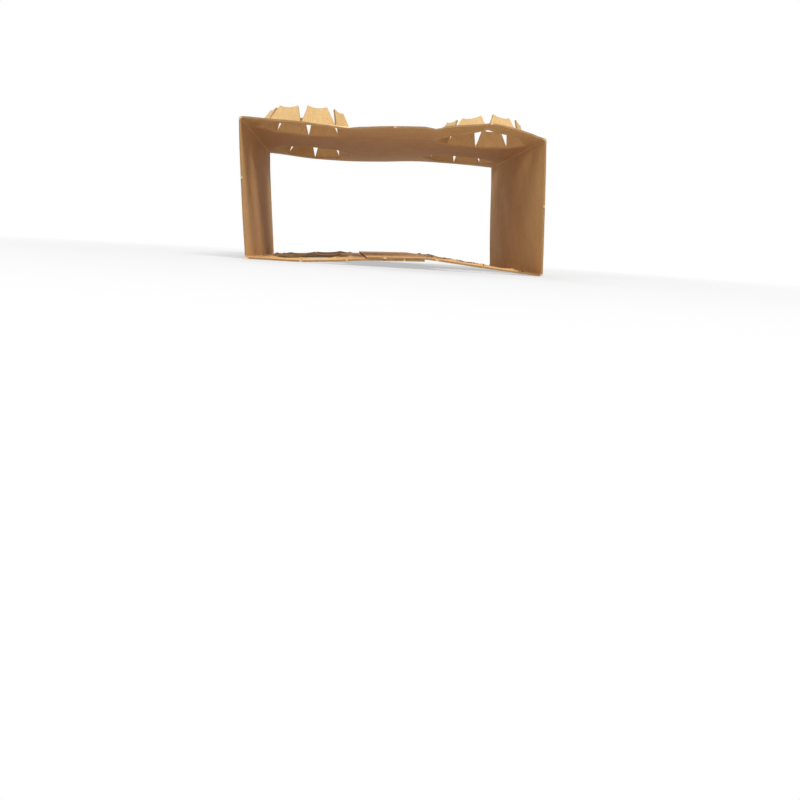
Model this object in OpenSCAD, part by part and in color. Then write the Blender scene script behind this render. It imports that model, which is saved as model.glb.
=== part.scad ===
// Carrier folded from one sheet of plain kraft board.
// An open sleeve with four star-cut collars in its top panel, each over a star-cut hole in the floor.
// The two floor flaps overlap in the middle and are glued.
// It stands on its two bottom folds, +Z up, front edge towards -Y.

/* [Sleeve] */
// Distance between the axes of neighbouring collars
hole_pitch = 65.4; // [60:0.2:76]
// Board between the folds of a top collar and the nearest cut edge, front or back
edge_strip = 4.4; // [3:0.1:12]
// Board between the slits round a floor hole and the nearest side wall
side_strip = 1.5; // [1.3:0.1:8]
// Height from the bottom folds to the top of the top panel
sleeve_h = 47.4; // [36:0.2:70]
// Thickness of the board
board_t = 0.6; // [0.4:0.05:0.8]
// Radius of the four folds at the middle of the board
fold_r = 0.6; // [0.5:0.1:1.4]
// How far the sleeve has racked: the top panel lies this much further left than the floor
rack = 2.6; // [0:0.2:4]

/* [Glued floor] */
// Rise of the floor where the lower flap ends
floor_rise = 2.6; // [0:0.2:4]
// Free edge of the upper flap, left of the middle of the floor
upper_reach = 10.4; // [6:0.2:12]
// Free edge of the lower flap, right of the middle of the floor
lower_reach = 10.4; // [8:0.2:13]
// Glue between the two flaps
glue_t = 0.1; // [0.05:0.05:0.2]

/* [Top collars] */
// From a collar's axis to the fold of each of its petals
collar_r = 16; // [14.6:0.1:16.4]
// Radius of the round cut at the tips of the petals, before they are bent
collar_cut_r = 9.5; // [8.6:0.1:11]
// How far the petals are bent up from the panel, degrees
petal_lift = 65; // [20:1:78]
// Unevenness of the bend from petal to petal, degrees
petal_uneven = 3; // [0:1:6]
// Rise of the creased strip in front of the right front collar, at the cut edge
strip_rise = 3.6; // [0.4:0.2:4.4]

/* [Floor holes] */
// From a floor hole's axis to the ends of its slits
floor_slit_r = 18.9; // [18:0.1:19]
// Radius of the round cut in the floor
floor_cut_r = 16.2; // [15:0.1:17]
// How far the short tabs round the cut are bent up, degrees
tab_lift = 28; // [5:1:75]

/* [Slits] */
// Width of the slits between petals
slit_w = 0.4; // [0.2:0.1:0.8]
// Turn of the slits from straight ahead, degrees
slit_turn = -2; // [-6:1:6]

/* [Hidden] */
$fn = 96;

sides = 8;
half = 180 / sides;
kraft = [0.79, 0.60, 0.38];
// Height of a cut that goes right through the board
through = 4 * board_t;

// From a collar's axis to the nearest cut edge, and from a floor hole's axis to the nearest outer side
edge_margin = collar_r + edge_strip;
side_margin = max(floor_slit_r, collar_r / cos(half) + slit_w) + side_strip;
sleeve_w = hole_pitch + 2 * side_margin;
sleeve_d = hole_pitch + 2 * edge_margin;
floor_x = rack / 2;
top_x = -rack / 2;

// Corners of the sleeve at the middle of the board, with the bottom folds at height 0
low_z = board_t / 2;
high_z = sleeve_h - board_t / 2;
low_left = [floor_x - sleeve_w / 2 + board_t / 2, low_z];
low_right = [floor_x + sleeve_w / 2 - board_t / 2, low_z];
high_left = [top_x - sleeve_w / 2 + board_t / 2, high_z];
high_right = [top_x + sleeve_w / 2 - board_t / 2, high_z];

// The lower flap runs straight up to its free edge, and the upper flap lies on it up to there
lower_end = [floor_x + lower_reach, low_z + floor_rise];
lower_dir = unit(lower_end - low_left);
lift = (board_t + glue_t) * left(lower_dir);
upper_end = along(low_left, lower_dir, floor_x - upper_reach) + lift;
upper_bend = lower_end + lift + board_t * lower_dir;
right_dir = unit(low_right - upper_bend);
// The glue stops this far short of both free edges
glue_inset = 1;

floor_fold_r = floor_slit_r * cos(half);
// Depth of a bend's axis under the skin on the outside of the bend
fold_in = board_t / 12;

// Lifted strip, seen from the axis of its collar: ends of its two hinges, which stop just outside the
// corners of the collar and short of the fold beside it, and the crease between them
fold_clear = 1.8 * board_t;
strip_end = side_margin - fold_r - fold_clear;
hinge_stop = 1 + board_t / 4 / collar_r;
hinge_left = [[-strip_end, -edge_margin], hinge_stop * star_corner(5)];
hinge_right = [[strip_end, -edge_margin], hinge_stop * star_corner(7)];
crease = [star_corner(6) * edge_margin / -star_corner(6)[1], star_corner(6)];
strip_lift_left = atan(strip_rise / off_line(hinge_left, crease[0]));
strip_lift_right = atan(strip_rise / off_line(hinge_right, crease[0]));

// Steps in degrees that scatter the bend from petal to petal and from collar to collar
petal_step = 97;
side_step = 40;
row_step = 65;

// Height that brings the lower of the two bottom folds to the ground
left_fold = fold_centre(high_left, low_left, lower_end);
right_fold = fold_centre(upper_bend, low_right, high_right);
stand = fold_r + board_t / 2 - min(left_fold[1], right_fold[1]);

function unit(v) = v / norm(v);
// A vector turned a quarter to the left
function left(v) = [-v[1], v[0]];
// Point at the given x on the line through p with direction d
function along(p, d, x) = p + d * (x - p[0]) / d[0];
// Corner k of the folds of a top collar, where a slit ends
function star_corner(k) =
    let (a = 360 * k / sides + slit_turn)
    collar_r / cos(half) * [cos(a), sin(a)];
// Distance of point p from a line through two points
function off_line(line, p) = abs(left(unit(line[1] - line[0])) * (p - line[0]));
// Angle from one direction to another, positive to the left
function turn(a, b) = atan2(a[0] * b[1] - a[1] * b[0], a * b);

// Centre of the round fold at the corner p on the way from a to b
function fold_centre(a, p, b) =
    let (d = unit(p - a), w = turn(d, unit(b - p)))
    p - fold_r * tan(abs(w) / 2) * d + sign(w) * fold_r * left(d);

// Round the corner p on the way from a to b
function round_corner(a, p, b, steps = 6) =
    let (d = unit(p - a), w = turn(d, unit(b - p)), c = fold_centre(a, p, b))
    [for (i = [0:steps])
        let (q = w * i / steps)
        c - sign(w) * fold_r * [left(d)[0] * cos(q) - left(d)[1] * sin(q),
                                left(d)[0] * sin(q) + left(d)[1] * cos(q)]];

// Outward step at point i of a path, mitred between its two neighbours
function mitre(path, i) =
    let (into = max(i, 1), out = min(i, len(path) - 2))
    let (d = unit(path[into] - path[into - 1]), e = unit(path[out + 1] - path[out]))
    (left(d) + left(e)) / (1 + left(d) * left(e));

// Strip of board of thickness t along a path
module strip(path, t) {
    polygon(concat(
        [for (i = [0:len(path) - 1]) path[i] + mitre(path, i) * t / 2],
        [for (i = [len(path) - 1:-1:0]) path[i] - mitre(path, i) * t / 2]));
}

// Section of the folded sheet, from the free edge of the upper flap round to that of the lower flap
module sheet_section() {
    strip(concat(
        [upper_end, upper_bend],
        round_corner(upper_bend, low_right, high_right),
        round_corner(low_right, high_right, high_left),
        round_corner(high_right, high_left, low_left),
        round_corner(high_left, low_left, lower_end),
        [lower_end]), board_t);
}

// Glue line between the two flaps, sunk a little into both
module glue_section() {
    inset = glue_inset * lower_dir;
    strip([upper_end - lift / 2 + inset, lower_end + lift / 2 - inset], glue_t + board_t / 4);
}

module sleeve() {
    translate([0, sleeve_d / 2, 0])
        rotate([90, 0, 0])
            linear_extrude(sleeve_d) {
                sheet_section();
                glue_section();
            }
}

// Puts a child at an axis on the top panel or on the floor, with the middle of the board at height 0
module on_top(side, row) {
    translate([top_x + side * hole_pitch / 2, row * hole_pitch / 2, high_z])
        children();
}

module on_floor(side, row) {
    dir = side < 0 ? lower_dir : right_dir;
    at = along(side < 0 ? low_left : upper_bend, dir, floor_x + side * hole_pitch / 2);
    translate([at[0], row * hole_pitch / 2, at[1]])
        rotate([0, -atan2(dir[1], dir[0]), 0])
            children();
}

// Eight-sided opening inside the folds of one star
module star_opening(fold) {
    rotate(slit_turn)
        cylinder(h = through, r = fold / cos(half), center = true, $fn = sides);
}

// One petal, cut by two slits and the round cut, and bent up about its fold
module petal(fold, cut, bend) {
    // The blank ends inside the round cut
    inner = 0.8 * cut;
    translate([fold, 0, fold_in - board_t / 2])
        rotate([0, bend, 0])
            translate([-fold, 0, -fold_in])
                linear_extrude(board_t)
                    difference() {
                        polygon([
                            [fold, fold * tan(half) - slit_w / 2],
                            [inner, inner * tan(half) - slit_w / 2],
                            [inner, slit_w / 2 - inner * tan(half)],
                            [fold, slit_w / 2 - fold * tan(half)]]);
                        circle(r = cut);
                    }
}

// The petals of one star with the given numbers, counted round from the right
module star(fold, cut, bend, uneven, seed, petals = [0:sides - 1]) {
    for (k = petals)
        rotate(half + 360 * k / sides + slit_turn)
            petal(fold, cut, bend + uneven * sin(petal_step * k + seed));
}

// Petals of a top collar
module collar(side, row, petals) {
    star(collar_r, collar_cut_r, petal_lift, petal_uneven, side_step * side + row_step * row, petals);
}

// Tabs of a floor hole
module tabs() {
    star(floor_fold_r, floor_cut_r, tab_lift, 0, 0);
}

// Turns a child up about a hinge at the underside of the board
module hinged(line, lift) {
    heading = atan2(line[1][1] - line[0][1], line[1][0] - line[0][0]);
    translate([line[0][0], line[0][1], fold_in - board_t / 2])
        rotate(heading)
            rotate([lift, 0, 0])
                rotate(-heading)
                    translate([-line[0][0], -line[0][1], board_t / 2 - fold_in])
                        children();
}

// Room for the lifted strip in the flat panel, from inside the collar's opening to beyond the cut edge
module strip_gap() {
    inside = 0.97;
    past = 0.03;
    beyond = [0, -2 * board_t];
    translate([0, 0, -through / 2])
        linear_extrude(through)
            polygon([
                hinge_left[0], hinge_left[1], inside * star_corner(5 - past), inside * star_corner(7 + past),
                hinge_right[1], hinge_right[0], hinge_right[0] + beyond, hinge_left[0] + beyond]);
}

// One half of the lifted strip with its petal, cut off at the crease
module strip_half(line, lift, side, petals) {
    across = unit(crease[0] - crease[1]);
    reach = 2 * board_t * side * [-across[1], across[0]];
    intersection() {
        hinged(line, lift)
            translate([0, 0, -board_t / 2])
                linear_extrude(board_t)
                    polygon([line[0], line[1], crease[1] + reach, crease[0] + reach]);
        translate(crease[1])
            rotate(atan2(across[1], across[0]))
                translate([-edge_margin, side > 0 ? -2 * edge_margin : 0, -edge_margin])
                    cube(2 * edge_margin);
    }
    hinged(line, lift)
        collar(1, -1, petals);
}

module carrier() {
    color(kraft)
        translate([0, 0, stand])
            union() {
                difference() {
                    sleeve();
                    for (side = [-1, 1], row = [-1, 1]) {
                        on_top(side, row)
                            star_opening(collar_r);
                        on_floor(side, row)
                            star_opening(floor_fold_r);
                    }
                    on_top(1, -1)
                        strip_gap();
                }
                on_top(1, -1) {
                    strip_half(hinge_left, -strip_lift_left, 1, [5]);
                    strip_half(hinge_right, strip_lift_right, -1, [6]);
                }
                for (side = [-1, 1], row = [-1, 1]) {
                    on_top(side, row)
                        collar(side, row, side > 0 && row < 0 ? [0, 1, 2, 3, 4, 7] : [0:sides - 1]);
                    on_floor(side, row)
                        tabs();
                }
            }
}

carrier();
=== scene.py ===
import math
from collections import namedtuple

import bpy
import numpy as np
from mathutils import Matrix, Vector
from mathutils.geometry import delaunay_2d_cdt


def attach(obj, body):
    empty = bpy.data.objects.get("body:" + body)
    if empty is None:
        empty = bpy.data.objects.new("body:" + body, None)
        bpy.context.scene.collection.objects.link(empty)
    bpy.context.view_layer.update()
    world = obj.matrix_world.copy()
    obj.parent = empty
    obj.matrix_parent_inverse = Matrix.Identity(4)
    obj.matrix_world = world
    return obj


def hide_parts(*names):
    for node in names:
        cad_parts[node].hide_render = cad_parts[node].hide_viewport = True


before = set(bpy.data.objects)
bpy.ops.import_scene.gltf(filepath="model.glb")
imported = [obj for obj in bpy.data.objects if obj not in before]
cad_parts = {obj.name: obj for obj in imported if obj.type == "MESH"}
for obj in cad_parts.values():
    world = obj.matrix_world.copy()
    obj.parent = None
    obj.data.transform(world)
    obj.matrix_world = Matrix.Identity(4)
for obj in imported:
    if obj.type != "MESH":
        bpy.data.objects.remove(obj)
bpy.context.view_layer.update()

# Metres in a millimetre
MM = 0.001
# Sizes of the folded sheet in millimetres and its angles in degrees, named as in the solid
HOLE_PITCH = 65.4
EDGE_STRIP = 4.4
SIDE_STRIP = 1.5
SLEEVE_H = 47.4
BOARD_T = 0.6
FOLD_R = 0.6
RACK = 2.6
FLOOR_RISE = 2.6
UPPER_REACH = 10.4
LOWER_REACH = 10.4
GLUE_T = 0.1
COLLAR_R = 16.0
COLLAR_CUT_R = 9.5
PETAL_LIFT = 65.0
PETAL_UNEVEN = 3.0
FLOOR_SLIT_R = 18.9
FLOOR_CUT_R = 16.2
TAB_LIFT = 28.0
SLIT_TURN = -2.0
STAND = -0.024

# Slits, cut finer than in the solid, and the unevenness of the floor tabs
SLIT_W = 0.16
TAB_UNEVEN = 4.0
# Bend of the upper floor flap where it leaves the lower one, and how far its free edge is cut askew
FLAP_BEND_R = 7.0
FLAP_SKEW = 1.1

SIDES = 8
HALF = math.pi / SIDES
HALF_T = BOARD_T / 2
EDGE_MARGIN = COLLAR_R + EDGE_STRIP
SIDE_MARGIN = FLOOR_SLIT_R + SIDE_STRIP
SLEEVE_W = HOLE_PITCH + 2 * SIDE_MARGIN
SLEEVE_D = HOLE_PITCH + 2 * EDGE_MARGIN
FLOOR_FOLD_R = FLOOR_SLIT_R * math.cos(HALF)
FLOOR_X = RACK / 2
TOP_X = -RACK / 2
FRONT = -SLEEVE_D / 2
BACK = SLEEVE_D / 2
# Depth of the strip between a collar's front slit and the cut edge
STRIP_DEPTH = EDGE_MARGIN - COLLAR_R / math.cos(HALF)
# A step along the sheet that is small beside all its forms, and a length that counts as none
NUDGE = 0.05
TINY = 1e-6


def unit(v):
    """A vector made one long."""
    return np.asarray(v, float) / np.linalg.norm(v)


def normed(v):
    """Each vector of an array, made one long."""
    return v / np.linalg.norm(v, axis=-1, keepdims=True)


def left_of(d):
    """Directions turned a quarter to the left."""
    return np.stack([-d[..., 1], d[..., 0]], -1)


def smooth(x, lo, hi):
    """Soft step from 0 at lo to 1 at hi."""
    t = np.clip((x - lo) / (hi - lo), 0.0, 1.0)
    return t * t * (3 - 2 * t)


# Route of the middle of the board round the sleeve, seen from the front as (x, z)
low_z = HALF_T + STAND
high_z = SLEEVE_H - HALF_T + STAND
low_left = np.array([FLOOR_X - SLEEVE_W / 2 + HALF_T, low_z])
low_right = np.array([FLOOR_X + SLEEVE_W / 2 - HALF_T, low_z])
high_left = np.array([TOP_X - SLEEVE_W / 2 + HALF_T, high_z])
high_right = np.array([TOP_X + SLEEVE_W / 2 - HALF_T, high_z])
lower_end = np.array([FLOOR_X + LOWER_REACH, low_z + FLOOR_RISE])
lower_dir = unit(lower_end - low_left)
layer = (BOARD_T + GLUE_T) * left_of(lower_dir)
upper_end = low_left + lower_dir * (FLOOR_X - UPPER_REACH - low_left[0]) / lower_dir[0] + layer
upper_bend = lower_end + layer + BOARD_T * lower_dir

# How far the folds and the collars lie from those of the plain sleeve
low_left += (-0.1, 0.0)
low_right += (0.55, 0.0)
high_right += (-0.05, 0.65)
high_left += (-0.75, 0.55)
COLLAR_SHIFT = 0.3

Run = namedtuple("Run", "start point heading")
Bend = namedtuple("Bend", "start length centre arm angle radius heading")


class Route:
    """A line of straight runs joined by round folds, measured along its length."""

    def __init__(self, points, radii):
        self.runs = []
        self.bends = []
        at = 0.0
        here = points[0]
        for i in range(1, len(points)):
            d = unit(points[i] - points[i - 1])
            self.runs.append(Run(at, here, d))
            if i == len(points) - 1:
                break
            e = unit(points[i + 1] - points[i])
            angle = math.atan2(d[0] * e[1] - d[1] * e[0], d @ e)
            r = radii[i]
            trim = r * math.tan(abs(angle) / 2)
            stop = points[i] - trim * d
            at += np.linalg.norm(stop - here)
            centre = stop + math.copysign(r, angle) * left_of(d)
            self.bends.append(Bend(at, abs(angle) * r, centre, stop - centre, angle, r, d))
            at += abs(angle) * r
            here = points[i] + trim * e
        self.length = at + np.linalg.norm(points[-1] - here)

    def at(self, s):
        """Point and heading at each length s."""
        s = np.asarray(s, float)
        p = np.zeros(s.shape + (2,))
        d = np.zeros(s.shape + (2,))
        for i, run in enumerate(self.runs):
            here = s >= run.start if i else np.full(s.shape, True)
            p[here] = run.point + (s[here, None] - run.start) * run.heading
            d[here] = run.heading
            if i == len(self.bends):
                break
            bend = self.bends[i]
            here = s > bend.start
            turn = np.minimum((s[here] - bend.start) / bend.radius, abs(bend.angle))
            c = np.cos(turn)[:, None]
            n = np.sin(turn)[:, None] * math.copysign(1, bend.angle)
            p[here] = bend.centre + c * bend.arm + n * left_of(bend.arm)
            d[here] = c * bend.heading + n * left_of(bend.heading)
        return p, d

    def s_of(self, run, x):
        """Length at which a run has the given x."""
        run = self.runs[run]
        return run.start + (x - run.point[0]) / run.heading[0]


route = Route(
    [upper_end, upper_bend, low_right, high_right, high_left, low_left, lower_end],
    [0, FLAP_BEND_R, FOLD_R, FOLD_R, FOLD_R, FOLD_R, 0],
)
LAP, FLOOR_RIGHT, WALL_RIGHT, TOP, WALL_LEFT, FLOOR_LEFT = range(6)
FOLDS = [bend.start + bend.length / 2 for bend in route.bends]

# Front cut edge of the top panel, as x and height over the flat panel, how softly it turns, and how far
# behind the edge its form ends
PANEL_X = [-54.5, -34, -15.2, -12.3, -7, -1.9, 3, 8.7, 12.5, 20, 34, 54.5]
PANEL_Z = [0.0, -0.12, -0.72, -0.5, 0.1, 0.5, 0.74, 1.02, 0.5, 0.12, 0.0, 0.0]
PANEL_BLUR = 0.7
PANEL_REACH = 24.0
# What the strips in front of the two front collars add to it
LEFT_X = [-52.4, -49.4, -45.6, -33.9, -28.9, -23.0, -18.2, -16.5, -15.5]
LEFT_Z = [0.0, -0.12, -0.3, -0.3, -0.48, -0.58, -0.68, -0.74, 0.0]
LEFT_BLUR = 0.25
RIGHT_X = [13.0, 13.7, 16.2, 19.1, 22.1, 27.2, 32.3, 37.5, 41.9, 46.6, 49.8]
RIGHT_Z = [0.0, 0.1, 1.45, 1.95, 2.3, 3.02, 3.75, 3.25, 2.3, 1.12, 0.0]
RIGHT_BLUR = 0.12
# Back cut edge of the top panel, and how far behind the middle its form starts and is whole
BACK_X = [-54.5, -36, -16, -0.6, 11, 18.5, 36, 54.5]
BACK_Z = [0.0, -1.4, -1.4, -0.6, 0.55, 0.95, 0.8, 0.0]
BACK_BLUR = 4.0
BACK_FROM = 4.0
BACK_TO = 50.0
# Swelling of the panel right of the two front collars: its heights, its place from the collar's axis,
# its spread, and the distance from an edge or a fold at which it is whole
SWELL_LEFT = 0.5
SWELL_RIGHT = 1.2
SWELL_X = 12.0
SWELL_Y = -12.0
SWELL_R = 5.5
SWELL_CLEAR = 6.0
# Rise of the middle of the floor over its plain shape at the front and back edges, and the distances
# from the middle at which the rise starts and is full
FLOOR_FRONT = 0.21
FLOOR_BACK = 1.25
RISE_FROM = 46.0
RISE_FULL = 14.0
# Droop of the left floor flap at its front edge, as x and depth, and how far behind the edge it ends
DROOP_X = [-49, -46, -41, -35, -29.5, -23.7, -18, -11]
DROOP_Z = [0.0, 0.15, 0.38, 0.68, 0.75, 0.62, 0.45, 0.0]
DROOP_BLUR = 1.2
DROOP_REACH = 32.0
# Where the lifted strip ends beside its collar, clear of the fold, where the crease meets the cut edge,
# seen from the collar's axis, and the part of the rise that the crease keeps at its collar
STRIP_CLEAR = 1.8 * BOARD_T
STRIP_END = SIDE_MARGIN - FOLD_R - STRIP_CLEAR
CREASE_X = 0.9
CREASE_KEEP = 0.62
# How far the crease's skew goes on, in strip depths, the least depth of a strip, and how softly it ends
SKEW_MOST = 1.6
LEAST_DEPTH = 0.25
SOFT_END = 0.006
# Bulge of the side walls at half height, and how many times as much as the top panel they warp
BOW_LEFT = 0.2
BOW_RIGHT = -0.2
WALL_WARP = 1.3
# Waves of the top panel and the walls: their heights, their rates for each millimetre, and where they start.
# They grow to their full size over a distance from a fold
LONG_H = 0.16
LONG_ALONG = (0.047, 0.6)
LONG_BACK = (0.043, 1.1)
SHORT_H = 0.07
SHORT_ALONG = 0.11
SHORT_SKEW = 0.07
SHORT_START = 2.0
SHORT_BACK = (0.093, -0.4)
WARP_FROM_FOLD = 9.0
# Reach of the easing of a profile's corners, in blurs, and its steps
EASE_REACH = 2
EASE_STEPS = 9


def eased(x, xs, zs, blur):
    """Profile through the given points, with its corners eased."""
    steps = np.linspace(-EASE_REACH, EASE_REACH, EASE_STEPS)
    weights = np.exp(-steps ** 2 / 2)
    return sum(w * np.interp(x + k * blur, xs, zs) for k, w in zip(steps, weights)) / weights.sum()


def strip_share(x, u):
    """Part of its cut edge's rise that a strip has at u behind the edge; x is from the collar's axis."""
    side = np.abs(x)
    corner = COLLAR_R / math.cos(HALF) * math.sin(2 * HALF)
    depth_corner = EDGE_MARGIN - corner
    before_corner = STRIP_DEPTH + (depth_corner - STRIP_DEPTH) * side / corner
    past_corner = depth_corner * (STRIP_END - side) / (STRIP_END - corner)
    depth = np.where(side < corner, before_corner, past_corner)
    # The strip ends at its collar, so nothing of its rise is kept behind the collar's axis
    keep = np.where(u < EDGE_MARGIN, CREASE_KEEP * np.clip(1 - side / corner, 0, 1), 0.0)
    fall = 1 - u / np.maximum(depth, LEAST_DEPTH)
    fall = np.clip((fall + np.sqrt(fall * fall + SOFT_END)) / 2, 0, 1)
    return np.where(side < STRIP_END, keep + (1 - keep) * fall, 0.0)


def top_height(x, v):
    """Height of the top panel over its plain shape."""
    u = np.maximum(v - FRONT, 0.0)
    h = eased(x, PANEL_X, PANEL_Z, PANEL_BLUR) * (1 - smooth(u, 0.0, PANEL_REACH))
    # The crease runs skew, from the slit to a point right of it on the cut edge
    skew = np.where(x > 0, CREASE_X * np.clip(u / STRIP_DEPTH, 0, SKEW_MOST), 0.0)
    clear = smooth(u, 0.0, SWELL_CLEAR) * smooth(high_right[0] - x, 0.0, SWELL_CLEAR)
    for side, xs, zs, blur, swell in (
        (-1, LEFT_X, LEFT_Z, LEFT_BLUR, SWELL_LEFT),
        (1, RIGHT_X, RIGHT_Z, RIGHT_BLUR, SWELL_RIGHT),
    ):
        from_axis = x - (TOP_X + COLLAR_SHIFT + side * HOLE_PITCH / 2)
        h = h + eased(x + skew, xs, zs, blur) * strip_share(from_axis, u)
        away = np.hypot(from_axis - SWELL_X, v + HOLE_PITCH / 2 - SWELL_Y)
        h = h + swell * clear * np.exp(-(away / SWELL_R) ** 2 / 2)
    return h + eased(x, BACK_X, BACK_Z, BACK_BLUR) * smooth(v, BACK_FROM, BACK_TO)


def wave(at, rate, start):
    return np.sin(at * rate + start)


def warp(s, v):
    """Gentle waves of the sheet, for the top panel and the walls."""
    long_wave = wave(s, *LONG_ALONG) * wave(v, *LONG_BACK)
    short_wave = np.sin(s * SHORT_ALONG + v * SHORT_SKEW + SHORT_START) * wave(v, *SHORT_BACK)
    return LONG_H * long_wave + SHORT_H * short_wave


def across_panel(s, run):
    """How far s is across a panel between two folds, from 0 to 1, and which s lie on it."""
    lo = FOLDS[run - 1]
    hi = FOLDS[run]
    return np.clip((s - lo) / (hi - lo), 0, 1), (s > lo) & (s < hi)


def lift_of(s, v):
    """How far the board stands outside its plain folded shape."""
    x = route.at(s)[0][..., 0]
    off_folds = np.zeros_like(s)
    for lo, hi in zip(FOLDS[:-1], FOLDS[1:]):
        rise = smooth(s, lo, lo + WARP_FROM_FOLD) * smooth(-s, -hi, WARP_FROM_FOLD - hi)
        off_folds = np.maximum(off_folds, rise)
    h = warp(s, v) * off_folds
    for run, bow in ((WALL_LEFT, BOW_LEFT), (WALL_RIGHT, BOW_RIGHT)):
        share, on_wall = across_panel(s, run)
        h = np.where(on_wall, WALL_WARP * h + bow * np.sin(math.pi * share), h)
    # Out of the sleeve is down on the floor, so a rise there is taken off
    on_floor = (s < FOLDS[FLOOR_RIGHT]) | (s > FOLDS[WALL_LEFT])
    middle_rise = np.interp(v, [FRONT, BACK], [FLOOR_FRONT, FLOOR_BACK])
    near_middle = smooth(-np.abs(x - FLOOR_X), -RISE_FROM, -RISE_FULL)
    h = np.where(on_floor, -middle_rise * near_middle, h)
    droop = eased(x, DROOP_X, DROOP_Z, DROOP_BLUR) * (1 - smooth(v - FRONT, 0.0, DROOP_REACH))
    h = np.where(s > FOLDS[WALL_LEFT], h + droop, h)
    on_top = across_panel(s, TOP)[1]
    return h + np.where(on_top, top_height(x, v), 0.0)


def board(s, v):
    """The middle of the board at (s, v) on the flat sheet."""
    p, d = route.at(s)
    q = p - left_of(d) * lift_of(s, v)[..., None]
    return np.stack([q[..., 0], v, q[..., 1]], -1)


def outward(s, v):
    """Direction out of the sleeve at (s, v) on the flat sheet."""
    along = board(s + NUDGE, v) - board(s - NUDGE, v)
    back = board(s, v + NUDGE) - board(s, v - NUDGE)
    return normed(np.cross(back, along))


# Star cuts: faces across a petal, the radius to which its fold is rounded, and what sets its unevenness
PETAL_N = 12
PETAL_BEND_R = 0.7
COLLAR_SEED = (40, 65)
HOLE_SEED = (20, -35)


def star_corner(k, fold):
    """Corner k of a star's folds, where a slit ends, from the star's axis."""
    a = 2 * HALF * k + math.radians(SLIT_TURN)
    return fold / math.cos(HALF) * np.array([math.cos(a), math.sin(a)])


class Star:
    """One star cut, by the place of its axis on the flat sheet."""

    def __init__(self, top, side, row):
        self.top = top
        self.side = side
        self.row = row
        self.v = row * HOLE_PITCH / 2
        self.first_on_fold = []
        if top:
            self.s = route.s_of(TOP, TOP_X + COLLAR_SHIFT + side * HOLE_PITCH / 2)
            # The length along the sheet runs against x here
            self.way = -1
            self.fold = COLLAR_R
            self.cut = COLLAR_CUT_R
            self.lift = PETAL_LIFT
            seed = COLLAR_SEED
        else:
            flap = FLOOR_RIGHT if side > 0 else FLOOR_LEFT
            self.s = route.s_of(flap, FLOOR_X + side * HOLE_PITCH / 2)
            self.way = 1
            self.fold = FLOOR_FOLD_R
            self.cut = FLOOR_CUT_R
            self.lift = TAB_LIFT
            seed = HOLE_SEED
        self.seed = seed[0] * side + seed[1] * row

    def on_sheet(self, p):
        """Places on the flat sheet of points given from the axis."""
        p = np.asarray(p, float)
        return np.stack([self.s + self.way * p[..., 0], self.v + p[..., 1]], -1)

    def axes(self, k):
        """Directions out over fold k and along it."""
        a = 2 * HALF * (k + 0.5) + math.radians(SLIT_TURN)
        return np.array([math.cos(a), math.sin(a)]), np.array([-math.sin(a), math.cos(a)])

    def fold_points(self, k):
        """Points along fold k, from slit to slit, from the axis."""
        out, along = self.axes(k)
        w = self.fold * math.tan(HALF) - SLIT_W / 2
        return self.fold * out + np.linspace(-w, w, PETAL_N + 1)[:, None] * along

    def holds(self, s, v, margin):
        """Whether a place on the sheet lies inside the folds, widened by a margin."""
        p = (np.array([s, v]) - (self.s, self.v)) * (self.way, 1)
        a = (math.atan2(p[1], p[0]) - math.radians(SLIT_TURN)) % (2 * HALF) - HALF
        return np.hypot(*p) * math.cos(a) < self.fold + margin


stars = [Star(top, side, row) for row in (-1, 1) for side in (-1, 1) for top in (True, False)]
front_right = next(star for star in stars if star.top and star.side > 0 and star.row < 0)

# Grid of the flat sheet: its step, its steps round a fold, and its lines beside folds and cut edges
STEP = 1.9
FOLD_STEPS = 8
BESIDE_FOLD = 0.5
BESIDE_EDGE = (0.8, 1.8)
# Least step between lines, room left free round a star cut, margin for what lies in one, and the
# distance at which points become one
LEAST_STEP = 0.05
BESIDE_STAR = 0.75
INSIDE_STAR = -0.01
MERGE = 1e-5
# The slit at which the crease of the lifted strip starts, and the crease's points as shares of its length
CREASE_SLIT = 6
CREASE_STEPS = (0.25, 0.5, 0.75)


def spread(lo, hi, step):
    """Even places from lo to hi, about a step apart."""
    return list(np.linspace(lo, hi, max(1, round((hi - lo) / step)) + 1))


def length_lines():
    """Lengths along the sheet of the grid's lines, closer together at the folds."""
    lines = []
    cursor = 0.0
    for bend in route.bends:
        stop = bend.start - BESIDE_FOLD
        if stop > cursor:
            lines += spread(cursor, stop, STEP)
        cursor = bend.start + bend.length + BESIDE_FOLD
        lines += list(np.linspace(bend.start, bend.start + bend.length, FOLD_STEPS + 1))
        lines.append(cursor)
    lines = np.array(sorted(lines + spread(cursor, route.length, STEP)))
    return lines[np.concatenate([[True], np.diff(lines) > LEAST_STEP])]


def depth_lines():
    """Places from front to back of the grid's lines, closer together at the cut edges."""
    near, far = BESIDE_EDGE
    return [FRONT, FRONT + near] + spread(FRONT + far, BACK - far, STEP) + [BACK - near, BACK]


# Stubs left where the die held the sheet, as (length along the sheet, width)
NICKS = [
    (route.s_of(TOP, -1.9), 0.9),
    (route.s_of(TOP, 31.9), 1.1),
    (route.runs[WALL_LEFT].start + 19.5, 1.0),
    (route.runs[WALL_RIGHT].start + 23.65, 1.0),
    (route.s_of(FLOOR_LEFT, -32.7), 1.1),
    (route.s_of(FLOOR_LEFT, -16.2), 0.9),
    (route.s_of(LAP, -2.8), 0.9),
    (route.s_of(FLOOR_LEFT, 4.3), 0.9),
    (route.s_of(FLOOR_RIGHT, 16.1), 0.9),
]
# How far a stub stands out, its outline as shares of its half width and of that, and the room that the
# edge's other points leave it
NICK_OUT = 0.38
NICK_SHAPE = [(-1, 0), (-0.55, 0.75), (0, 1), (0.55, 0.75), (1, 0)]
NICK_ROOM = 0.35


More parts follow.
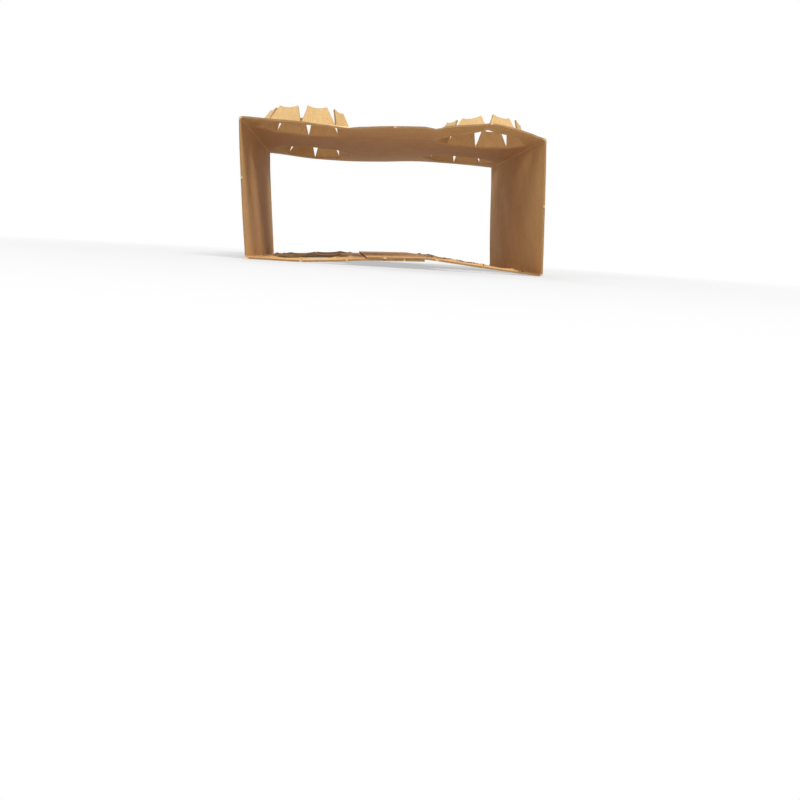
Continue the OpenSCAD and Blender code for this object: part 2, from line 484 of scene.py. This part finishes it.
def sheet_outline(s_lines, v_lines):
    """Points round the flat sheet, with the stubs on its front edge and its skew free edge."""
    stubs = [(s + f * width / 2, NICK_OUT * g) for s, width in NICKS for f, g in NICK_SHAPE]
    plain = [(s, 0.0) for s in s_lines if all(abs(s - stub) > NICK_ROOM for stub, _ in stubs)]
    outline = [(s, FRONT - out) for s, out in sorted(plain + stubs)]
    outline += [(route.length, v) for v in v_lines[1:-1]]
    outline += [(s, BACK) for s in s_lines[:0:-1]]
    outline += [(-FLAP_SKEW * (v - FRONT) / SLEEVE_D, v) for v in v_lines[:0:-1]]
    return outline


def loop(first, count):
    """Edges that join a run of points into a ring."""
    return [(first + i, first + (i + 1) % count) for i in range(count)]


def flat_sheet():
    """Points and triangles of the flat sheet with its star openings."""
    s_lines = length_lines()
    v_lines = depth_lines()
    points = sheet_outline(s_lines, v_lines)
    edges = loop(0, len(points))
    for s in s_lines[1:-1]:
        for v in v_lines[1:-1]:
            if not any(star.holds(s, v, BESIDE_STAR) for star in stars):
                points.append((s, v))
    for star in stars:
        first = len(points)
        for k in range(SIDES):
            points.append(tuple(star.on_sheet(star_corner(k, star.fold))))
            star.first_on_fold.append(len(points))
            points += [tuple(q) for q in star.on_sheet(star.fold_points(k))]
        edges += loop(first, len(points) - first)
    # The crease of the lifted strip runs from the slit to the cut edge
    slit_end = star_corner(CREASE_SLIT, COLLAR_R)
    on_edge = np.array([CREASE_X, -EDGE_MARGIN])
    before = front_right.first_on_fold[CREASE_SLIT] - 1
    for f in CREASE_STEPS:
        points.append(tuple(front_right.on_sheet(slit_end + f * (on_edge - slit_end))))
        edges.append((before, len(points) - 1))
        before = len(points) - 1
    meshed = delaunay_2d_cdt([Vector(p) for p in points], edges, [], 0, MERGE)
    flat, _, triangles, origin, _, _ = meshed
    flat = np.array([tuple(p) for p in flat])
    place = {i: k for k, ids in enumerate(origin) for i in ids}
    for star in stars:
        star.on_fold = [
            [place[first + i] for i in range(PETAL_N + 1)]
            for first in star.first_on_fold
        ]
    widest_stub = max(width for _, width in NICKS)
    kept = []
    for triangle in triangles:
        s, v = flat[list(triangle)].mean(0)
        between_stubs = v < FRONT - TINY and np.ptp(flat[list(triangle), 0]) > widest_stub
        if not between_stubs and not any(star.holds(s, v, INSIDE_STAR) for star in stars):
            kept.append(list(triangle))
    return flat, kept


# Distances from a fold within which the board is wholly worn, and beyond which it is sound
FOLD_WORN = 0.3
FOLD_SOUND = 0.95
PETAL_WORN = 0.5
PETAL_SOUND = 1.3


def wear(flat):
    """Where the board is cracked or torn: at the sleeve's folds and on the stubs."""
    worn = (flat[:, 1] < FRONT - TINY).astype(float)
    for middle in FOLDS[FLOOR_RIGHT:]:
        worn = np.maximum(worn, 1 - smooth(np.abs(flat[:, 0] - middle), FOLD_WORN, FOLD_SOUND))
    return worn


# Petals and tabs, bent up from the sheet: rows close to the fold, the share of the length that they may
# take up, and the rows beyond
NEAR_FOLD = np.array([0.12, 0.24, 0.36, 0.48, 0.62, 0.78, 1.0])
NEAR_SHARE = 0.4
FAR_STEPS = 9
# How much more upright the petals stand than in the solid, in degrees, and the most that is added to it on
# the right of a collar and taken off on its left
PETAL_UPRIGHT = 3.0
PETAL_UPRIGHT_RIGHT = 6.0
# Curl of the petals in degrees for each millimetre, its spread, and how far from the fold it starts
CURL_MEAN = -0.5
CURL_SPREAD = 0.7
CURL_FROM = 1.0
# How far the unevenness turns from petal to petal, in degrees for the lift and in radians for the curl, and
# the length of a bend as a share of that of a plain arc
SCATTER_TURN = 97
CURL_TURN = 2.1
BEND_SHARE = 1.25
# Fine steps over a length that is longer than any petal, by which a petal's bend is added up
LONGEST = 10
FINE_STEPS = 400
FINE = np.linspace(0, LONGEST, FINE_STEPS + 1)


def petal_depths(star):
    """Rows of a petal by their distance in from its fold, up to the round cut, and its places across."""
    share = np.linspace(-1, 1, PETAL_N + 1)
    tip_half = star.cut * math.sin(HALF) - SLIT_W / 2
    tip = star.fold - np.sqrt(star.cut ** 2 - (share * tip_half) ** 2)
    near = NEAR_FOLD[NEAR_FOLD < NEAR_SHARE * tip.min()]
    far = near[-1] + (tip - near[-1]) * np.linspace(0, 1, FAR_STEPS + 1)[1:, None]
    depth = np.concatenate([np.repeat(near[:, None], PETAL_N + 1, 1), far])
    return depth, share * ((star.fold - depth) * math.tan(HALF) - SLIT_W / 2)


def bent_way(star, k, depth):
    """How far in and how far up a petal goes at each distance along it."""
    scatter = math.sin(math.radians(SCATTER_TURN * k + star.seed))
    if star.top:
        upright = PETAL_UPRIGHT + PETAL_UPRIGHT_RIGHT * star.axes(k)[0][0]
        lift = math.radians(star.lift + upright + PETAL_UNEVEN * scatter)
        curl = math.radians(CURL_MEAN + CURL_SPREAD * math.sin(CURL_TURN * k + star.seed))
    else:
        lift = math.radians(star.lift - TAB_UNEVEN * abs(scatter))
        curl = 0.0
    bent = smooth(FINE, 0.0, BEND_SHARE * PETAL_BEND_R * lift)
    turn = lift * bent + curl * np.clip(FINE - CURL_FROM, 0, None)
    middle = (turn[1:] + turn[:-1]) / 2
    run = np.concatenate([[0], np.cumsum(np.cos(middle))]) * FINE[1]
    rise = np.concatenate([[0], np.cumsum(np.sin(middle))]) * FINE[1]
    return np.interp(depth, FINE, run)[..., None], np.interp(depth, FINE, rise)[..., None]


def petal(star, k):
    """Points of one petal in space and on the flat sheet, and its wear."""
    depth, across = petal_depths(star)
    out, along = star.axes(k)
    foot = star.on_sheet(star.fold * out + across[..., None] * along)
    # Just outside the fold, where the board's own slope is still plain
    outside = star.on_sheet((star.fold + NUDGE) * out + across[..., None] * along)
    base = board(foot[..., 0], foot[..., 1])
    inward = normed(base - board(outside[..., 0], outside[..., 1]))
    if star.top:
        # Petals stand straighter than the strip that they rise from
        inward = normed(inward + np.array([-out[0], -out[1], 0.0]))
        upward = outward(outside[..., 0], outside[..., 1]) + np.array([0.0, 0.0, 1.0])
        upward = normed(upward - inward * np.sum(inward * upward, -1, keepdims=True))
    else:
        upward = -outward(outside[..., 0], outside[..., 1])
    run, rise = bent_way(star, k, depth)
    flat = star.on_sheet((star.fold - depth)[..., None] * out + across[..., None] * along)
    worn = 1 - smooth(depth, PETAL_WORN, PETAL_SOUND)
    return base + run * inward + rise * upward, flat, worn


def board_middle():
    """Points of the middle of the board, their places on the flat sheet, their wear, and the faces."""
    flat, faces = flat_sheet()
    worn = wear(flat)
    worn[[i for star in stars for fold in star.on_fold for i in fold]] = 1.0
    points = [board(flat[:, 0], flat[:, 1])]
    places = [flat]
    wears = [worn]
    count = len(flat)
    for star in stars:
        for k in range(SIDES):
            shape, place, wear_here = petal(star, k)
            points.append(shape.reshape(-1, 3))
            places.append(place.reshape(-1, 2))
            wears.append(wear_here.reshape(-1))
            numbers = count + np.arange(wear_here.size).reshape(wear_here.shape)
            rows = [star.on_fold[k]] + numbers.tolist()
            count += wear_here.size
            for low, high in zip(rows[:-1], rows[1:]):
                faces += [[low[i], low[i + 1], high[i + 1], high[i]] for i in range(PETAL_N)]
    return np.concatenate(points), np.concatenate(places), np.concatenate(wears), faces


def faces_out(places, faces):
    """The faces turned so that their fronts look out of the sleeve: clockwise on the flat sheet."""
    turned = []
    for face in faces:
        s, v = places[face].T
        area = np.sum(s * np.roll(v, -1) - v * np.roll(s, -1))
        turned.append(face if area < 0 else face[::-1])
    return turned


def point_normals(points, faces):
    """Direction straight out of the board at each point."""
    normals = np.zeros_like(points)
    for face in faces:
        p = points[face]
        normals[face] += sum(np.cross(p[i] - p[0], p[i + 1] - p[0]) for i in range(1, len(face) - 1))
    return normed(normals)


# Edges that turn by more than this many degrees look sharp
SHARP_ANGLE = 50


def carrier_sheet():
    """The board with its two faces and its cut edges."""
    points, places, worn, faces = board_middle()
    faces = faces_out(places, faces)
    normals = point_normals(points, faces)
    total = len(points)
    sides = {(face[i - 1], face[i]) for face in faces for i in range(len(face))}
    cut_faces = [[b, a, a + total, b + total] for a, b in sorted(sides) if (b, a) not in sides]
    inner_faces = [[i + total for i in reversed(face)] for face in faces]
    all_faces = faces + inner_faces + cut_faces
    shell = np.concatenate([points + normals * HALF_T, points - normals * HALF_T]) * MM

    mesh = bpy.data.meshes.new("carrier_sheet")
    mesh.from_pydata(shell.tolist(), [], all_faces)
    slots = [0] * (2 * len(faces)) + [1] * len(cut_faces)
    mesh.polygons.foreach_set("material_index", slots)
    mesh.polygons.foreach_set("use_smooth", [True] * len(all_faces))
    # Place on the flat sheet, with 1 on the outside of the board and -1 on the inside
    sheet = np.zeros((2 * total, 3), np.float32)
    sheet[:, :2] = np.concatenate([places, places])
    sheet[:total, 2] = 1
    sheet[total:, 2] = -1
    mesh.attributes.new("sheet", "FLOAT_VECTOR", "POINT").data.foreach_set("vector", sheet.ravel())
    wear_values = np.concatenate([worn, worn]).astype(np.float32)
    mesh.attributes.new("crease", "FLOAT", "POINT").data.foreach_set("value", wear_values)
    mesh.update()
    mesh.set_sharp_from_angle(angle=math.radians(SHARP_ANGLE))
    piece = bpy.data.objects.new("carrier_sheet", mesh)
    bpy.context.scene.collection.objects.link(piece)
    return piece


# Materials
def srgb(r, g, b):
    """Linear colour of an sRGB one."""
    def linear(c):
        c /= 255
        return c / 12.92 if c <= 0.04045 else ((c + 0.055) / 1.055) ** 2.4
    return (linear(r), linear(g), linear(b), 1.0)


# Colours of the board: its inside and outside where dim and pale, the outside made paler with painted light,
# what lies in it, and its cut edge
INSIDE_DIM = srgb(190, 139, 82)
INSIDE_PALE = srgb(205, 157, 98)
# Outside colours: painted light, paler than the inside as if in strong light
LIT_OUTSIDE_DIM = srgb(208, 176, 120)
LIT_OUTSIDE_PALE = srgb(224, 197, 143)
FIBRE_DARK = srgb(166, 121, 70)
FIBRE_PALE = srgb(230, 194, 138)
GRAIN = srgb(180, 134, 80)
SLIVER = srgb(118, 78, 42)
STRAW = srgb(232, 202, 158)
CRACK = srgb(221, 184, 134)
PLY_DARK = srgb(150, 114, 76)
PLY_PALE = srgb(188, 152, 108)
FUZZ = srgb(136, 100, 64)
TORN = srgb(236, 208, 164)
# Directions of the fibres in degrees, with their scales across and along, and their shares
FIBRES = ((8, 5.5, 0.55, 0.5), (-38, 6.5, 0.7, 0.25), (62, 6.0, 0.8, 0.25))


class Nodes:
    """Short ways to add shader nodes to a material or world."""

    def __init__(self, tree):
        self.tree = tree

    def put(self, socket, value):
        if isinstance(value, bpy.types.NodeSocket):
            self.tree.links.new(value, socket)
        else:
            socket.default_value = value

    def add(self, kind, inputs=None, **settings):
        node = self.tree.nodes.new(kind)
        for name, value in settings.items():
            setattr(node, name, value)
        for key, value in (inputs or {}).items():
            self.put(node.inputs[key], value)
        return node

    def math(self, operation, a, b):
        return self.add("ShaderNodeMath", {0: a, 1: b}, operation=operation).outputs[0]

    def times(self, a, b):
        return self.math("MULTIPLY", a, b)

    def plus(self, a, b):
        return self.math("ADD", a, b)

    def noise(self, vector, scale, detail, rough, distortion=0.0):
        inputs = {"Vector": vector, "Scale": scale, "Detail": detail, "Roughness": rough}
        inputs["Distortion"] = distortion
        return self.add("ShaderNodeTexNoise", inputs).outputs["Fac"]

    def stretched(self, vector, angle, scale):
        inputs = {"Vector": vector, "Rotation": (0, 0, math.radians(angle)), "Scale": scale}
        return self.add("ShaderNodeMapping", inputs).outputs[0]

    def span(self, value, lo, hi, to_lo=0.0, to_hi=1.0):
        inputs = {"Value": value, "From Min": lo, "From Max": hi, "To Min": to_lo, "To Max": to_hi}
        return self.add("ShaderNodeMapRange", inputs).outputs[0]

    def mix(self, factor, a, b):
        """A blend of two colours, whose sockets are numbers 6 and 7 of the node."""
        return self.add("ShaderNodeMix", {0: factor, 6: a, 7: b}, data_type="RGBA").outputs[2]

    def attribute(self, name, output):
        return self.add("ShaderNodeAttribute", attribute_name=name).outputs[output]

    def flecks(self, vector, share, size):
        """1 inside a few of the cells scattered over the sheet."""
        cells = self.add("ShaderNodeTexVoronoi", {"Vector": vector, "Scale": 1.0}).outputs
        chosen = self.add("ShaderNodeSeparateColor", {0: cells["Color"]}).outputs[0]
        inside = self.math("LESS_THAN", cells["Distance"], size)
        return self.times(inside, self.math("LESS_THAN", chosen, share))

    def seen_directly(self):
        """1 for what the camera sees, also in gloss and through glass, and 0 for other light."""
        rays = self.add("ShaderNodeLightPath").outputs
        beyond = self.math("MAXIMUM", rays["Is Glossy Ray"], rays["Is Transmission Ray"])
        return self.math("MAXIMUM", rays["Is Camera Ray"], beyond)


def new_material(name, roughness, specular):
    """A material, its node helper and its shader."""
    material = bpy.data.materials.new(name)
    material.use_nodes = True
    shader = material.node_tree.nodes["Principled BSDF"]
    shader.inputs["Roughness"].default_value = roughness
    shader.inputs["Specular IOR Level"].default_value = specular
    return material, Nodes(material.node_tree), shader


def kraft_face():
    """Uncoated kraft board: clouds, fibres, flecks and cracked folds."""
    material, n, shader = new_material("kraft_board", roughness=0.78, specular=0.4)
    at = n.attribute("sheet", "Vector")
    worn = n.attribute("crease", "Fac")
    cloud = n.noise(at, scale=0.16, detail=4.0, rough=0.6)
    grain = n.noise(at, scale=1.1, detail=5.0, rough=0.65)
    fibres = []
    for angle, across, along, share in FIBRES:
        lying = n.stretched(at, angle, (across, along, 1.0))
        fibres.append(n.times(n.noise(lying, scale=1.0, detail=3.0, rough=0.6, distortion=0.6), share))
    strand = n.plus(fibres[0], n.plus(fibres[1], fibres[2]))
    # The outside of the board is paler than its inside: painted light, its colours are those of faces in
    # strong light
    outside = n.span(n.add("ShaderNodeSeparateXYZ", {0: at}).outputs[2], -0.5, 0.5)
    dim = n.mix(outside, INSIDE_DIM, LIT_OUTSIDE_DIM)
    pale = n.mix(outside, INSIDE_PALE, LIT_OUTSIDE_PALE)
    base = n.mix(n.span(cloud, 0.32, 0.68), dim, pale)
    dark_fibre = n.mix(0.4, base, FIBRE_DARK)
    pale_fibre = n.mix(0.4, base, FIBRE_PALE)
    base = n.mix(n.span(strand, 0.36, 0.64), dark_fibre, pale_fibre)
    base = n.mix(n.times(n.span(grain, 0.35, 0.7), 0.25), base, GRAIN)
    # Sparse dark slivers and pale fibres in the pulp
    slivers = n.flecks(n.stretched(at, 24, (1.5, 0.55, 1.0)), share=0.075, size=0.17)
    base = n.mix(n.times(slivers, 0.55), base, SLIVER)
    straws = n.flecks(n.stretched(at, -50, (1.7, 0.45, 1.0)), share=0.1, size=0.13)
    base = n.mix(n.times(straws, 0.5), base, STRAW)
    # The liner is cracked and paler where it is folded
    along_folds = n.stretched(at, 0, (3.0, 1.1, 1.0))
    cracks = n.span(n.noise(along_folds, scale=1.0, detail=4.0, rough=0.7), 0.42, 0.62)
    base = n.mix(n.times(worn, n.span(cracks, 0, 1, 0.12, 0.5)), base, CRACK)
    n.put(shader.inputs["Base Color"], base)
    pulp = n.plus(n.times(strand, 0.9), n.times(grain, 0.5))
    height = n.plus(pulp, n.times(n.times(cracks, worn), 0.7))
    bump = n.add("ShaderNodeBump", {"Height": height, "Strength": 0.55, "Distance": 0.00007})
    n.put(shader.inputs["Normal"], bump.outputs[0])
    return material


def kraft_edge():
    """Cut edge of the board, with its plies showing and pale torn stubs."""
    material, n, shader = new_material("kraft_cut_edge", roughness=0.95, specular=0.15)
    at = n.attribute("sheet", "Vector")
    torn = n.attribute("crease", "Fac")
    ply = n.noise(n.stretched(at, 0, (0.8, 0.8, 3.2)), scale=1.0, detail=3.0, rough=0.6)
    fuzz = n.noise(n.stretched(at, 0, (4.0, 4.0, 1.5)), scale=1.0, detail=3.0, rough=0.6)
    base = n.mix(n.span(ply, 0.35, 0.65), PLY_DARK, PLY_PALE)
    base = n.mix(n.times(n.span(fuzz, 0.4, 0.7), 0.35), base, FUZZ)
    base = n.mix(n.times(torn, 0.75), base, TORN)
    n.put(shader.inputs["Base Color"], base)
    bump = n.add("ShaderNodeBump", {"Height": n.plus(ply, fuzz), "Strength": 0.6, "Distance": 0.0001})
    n.put(shader.inputs["Normal"], bump.outputs[0])
    return material


sheet = carrier_sheet()
sheet.data.materials.append(kraft_face())
sheet.data.materials.append(kraft_edge())
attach(sheet, "root")
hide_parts("carrier")

# Pale floor, white where it is far from the carrier, with its sizes and distances in metres
FLOOR_R = 6.0
FLOOR_SIDES = 96
FLOOR_GREY = (0.5, 0.5, 0.5, 1.0)
NEAR_WHITE = 0.5
WHITE_FROM = 0.075
WHITE_FULL = 0.26
WHITE = (1.0, 1.0, 1.0, 1.0)


def studio_floor():
    """Floor that keeps the carrier's shadow."""
    bpy.ops.mesh.primitive_circle_add(vertices=FLOOR_SIDES, radius=FLOOR_R, fill_type="NGON")
    floor = bpy.context.object
    floor.name = "floor"
    material, n, shader = new_material("floor_paper", roughness=0.9, specular=0.1)
    shader.inputs["Base Color"].default_value = FLOOR_GREY
    spot = n.add("ShaderNodeTexCoord").outputs["Object"]
    away = n.add("ShaderNodeVectorMath", {0: spot}, operation="LENGTH").outputs["Value"]
    far = n.span(away, WHITE_FROM, WHITE_FULL)
    white = n.add("ShaderNodeEmission", {"Color": WHITE, "Strength": 1.0}).outputs[0]
    share = n.times(n.span(far, 0.0, 1.0, NEAR_WHITE, 1.0), n.seen_directly())
    surface = n.add("ShaderNodeMixShader", {0: share, 1: shader.outputs[0], 2: white}).outputs[0]
    n.put(n.tree.nodes["Material Output"].inputs["Surface"], surface)
    floor.data.materials.append(material)


# Tint of the light all round, and the point that the lamps look at, in metres
WORLD_TINT = (0.93, 0.98, 1.07, 1.0)
AIM = Vector((0, 0, 0.03))


def studio_world(strength):
    """Even light all round, seen as plain white."""
    world = bpy.data.worlds.new("studio")
    world.use_nodes = True
    bpy.context.scene.world = world
    n = Nodes(world.node_tree)
    soft = n.tree.nodes["Background"]
    soft.inputs["Color"].default_value = WORLD_TINT
    soft.inputs["Strength"].default_value = strength
    white = n.add("ShaderNodeBackground", {"Color": WHITE, "Strength": 1.0}).outputs[0]
    parts = {0: n.seen_directly(), 1: soft.outputs[0], 2: white}
    surface = n.add("ShaderNodeMixShader", parts).outputs[0]
    n.put(n.tree.nodes["World Output"].inputs["Surface"], surface)


def lamp(name, at, size, watts):
    """A round soft lamp that looks at the carrier."""
    light = bpy.data.lights.new(name, "AREA")
    light.shape = "DISK"
    light.size = size
    light.energy = watts
    stand = bpy.data.objects.new(name, light)
    stand.location = at
    stand.rotation_euler = (AIM - Vector(at)).to_track_quat("-Z", "Y").to_euler()
    bpy.context.scene.collection.objects.link(stand)


studio_floor()
studio_world(strength=0.10)
lamp("key", at=(0.5, -0.9, 1.7), size=1.1, watts=46.0)
lamp("fill", at=(-1.4, -1.1, 0.9), size=1.0, watts=10.0)
lamp("back", at=(-0.3, 1.3, 1.6), size=1.0, watts=22.0)

# Camera at the photograph's viewing angle: place in millimetres, angles in degrees
EYE = (-16.3, -340.4, 7.312)
YAW = -4.42
PITCH = -10.86
ROLL = 3.57
FOCAL_PX = 794.4
FRAME_PX = 800
SENSOR = 36.0
# Nearest and farthest things that the camera sees, in metres
CLIP_NEAR = 0.01
CLIP_FAR = 50.0


def photo_camera():
    yaw, pitch, roll = (math.radians(a) for a in (YAW, PITCH, ROLL))
    level_part = math.cos(pitch)
    ahead = Vector((-math.sin(yaw) * level_part, math.cos(yaw) * level_part, math.sin(pitch)))
    level = ahead.cross(Vector((0, 0, 1))).normalized()
    upright = level.cross(ahead)
    right = math.cos(roll) * level + math.sin(roll) * upright
    up = math.cos(roll) * upright - math.sin(roll) * level
    lens = bpy.data.cameras.new("camera")
    lens.sensor_width = SENSOR
    lens.lens = SENSOR * FOCAL_PX / FRAME_PX
    lens.clip_start = CLIP_NEAR
    lens.clip_end = CLIP_FAR
    camera = bpy.data.objects.new("camera", lens)
    turned = Matrix((right, up, -ahead)).transposed().to_4x4()
    camera.matrix_world = Matrix.Translation(Vector(EYE) * MM) @ turned
    bpy.context.scene.collection.objects.link(camera)
    bpy.context.scene.camera = camera


photo_camera()
bpy.context.scene.view_settings.view_transform = "Standard"

bpy.context.view_layer.update()
